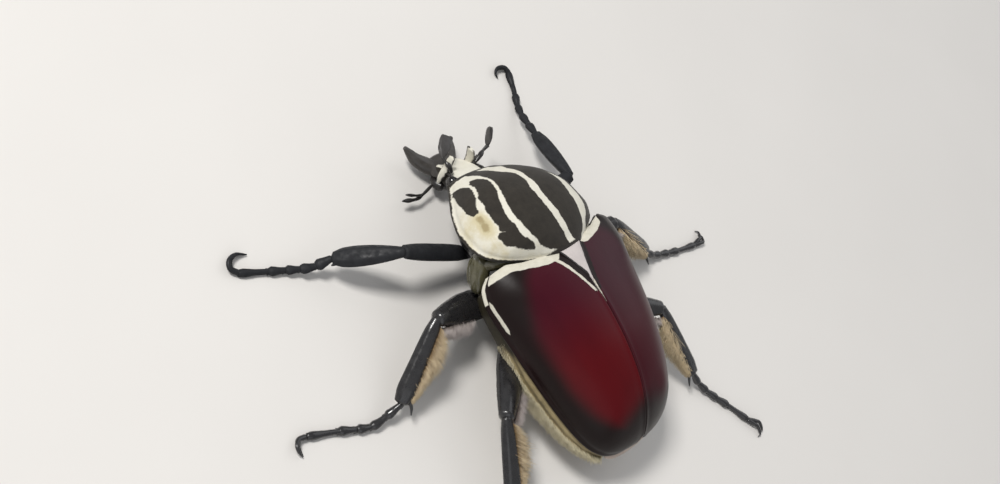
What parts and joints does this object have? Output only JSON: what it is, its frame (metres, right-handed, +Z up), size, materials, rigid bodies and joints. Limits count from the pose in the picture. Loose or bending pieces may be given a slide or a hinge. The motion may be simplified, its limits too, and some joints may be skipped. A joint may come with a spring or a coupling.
{
  "type": "goliath beetle",
  "caption": "Life-size still goliath beetle standing with its legs spread, wine-red wing cases, a black-and-cream striped pronotum and a forked black horn on a pale head.",
  "frame": {"origin": "centre of the footprint box, on the floor that the feet stand on", "axes": "+X toward the head, +Y to the animal's left, +Z up"},
  "size_m": [0.131, 0.1492, 0.0328],
  "materials": {
    "wing_case": "satin deep wine-red shell shading to near black at the edges",
    "velvet_plate": "fine velvet in cream and black stripes",
    "black_shell": "glossy black shell",
    "pale_underside": "olive-brown shell under short cream hair",
    "horn_shell": "black shell, satin",
    "eye_shell": "polished black-brown",
    "leg_shell": "glossy blue-black shell with golden hair fringes",
    "golden_hair": "fine golden-brown hair",
    "cream_hair": "short cream hair"
  },
  "bodies": {
    "root": {"elytron_left": "wing_case", "elytron_right": "wing_case", "scutellum": "black_shell", "abdomen": "pale_underside", "pronotum": "velvet_plate", "prothorax_under": "black_shell", "head": "velvet_plate", "horn": "horn_shell", "eye_left": "eye_shell", "eye_right": "eye_shell", "feeler_left": "black_shell", "feeler_club_left": "black_shell", "feeler_right": "black_shell", "feeler_club_right": "black_shell", "palp_left": "black_shell", "palp_right": "black_shell", "shoulder_plate_left": "pale_underside", "shoulder_plate_right": "pale_underside", "pygidium": "velvet_plate", "femur_front_left": "leg_shell", "tibia_front_left": "leg_shell", "tarsus_front_left": "leg_shell", "femur_middle_left": "leg_shell", "tibia_middle_left": "leg_shell", "tarsus_middle_left": "leg_shell", "femur_hind_left": "leg_shell", "tibia_hind_left": "leg_shell", "tarsus_hind_left": "leg_shell", "femur_front_right": "leg_shell", "tibia_front_right": "leg_shell", "tarsus_front_right": "leg_shell", "femur_middle_right": "leg_shell", "tibia_middle_right": "leg_shell", "tarsus_middle_right": "leg_shell", "femur_hind_right": "leg_shell", "tibia_hind_right": "leg_shell", "tarsus_hind_right": "leg_shell"}
  },
  "joints": []
}
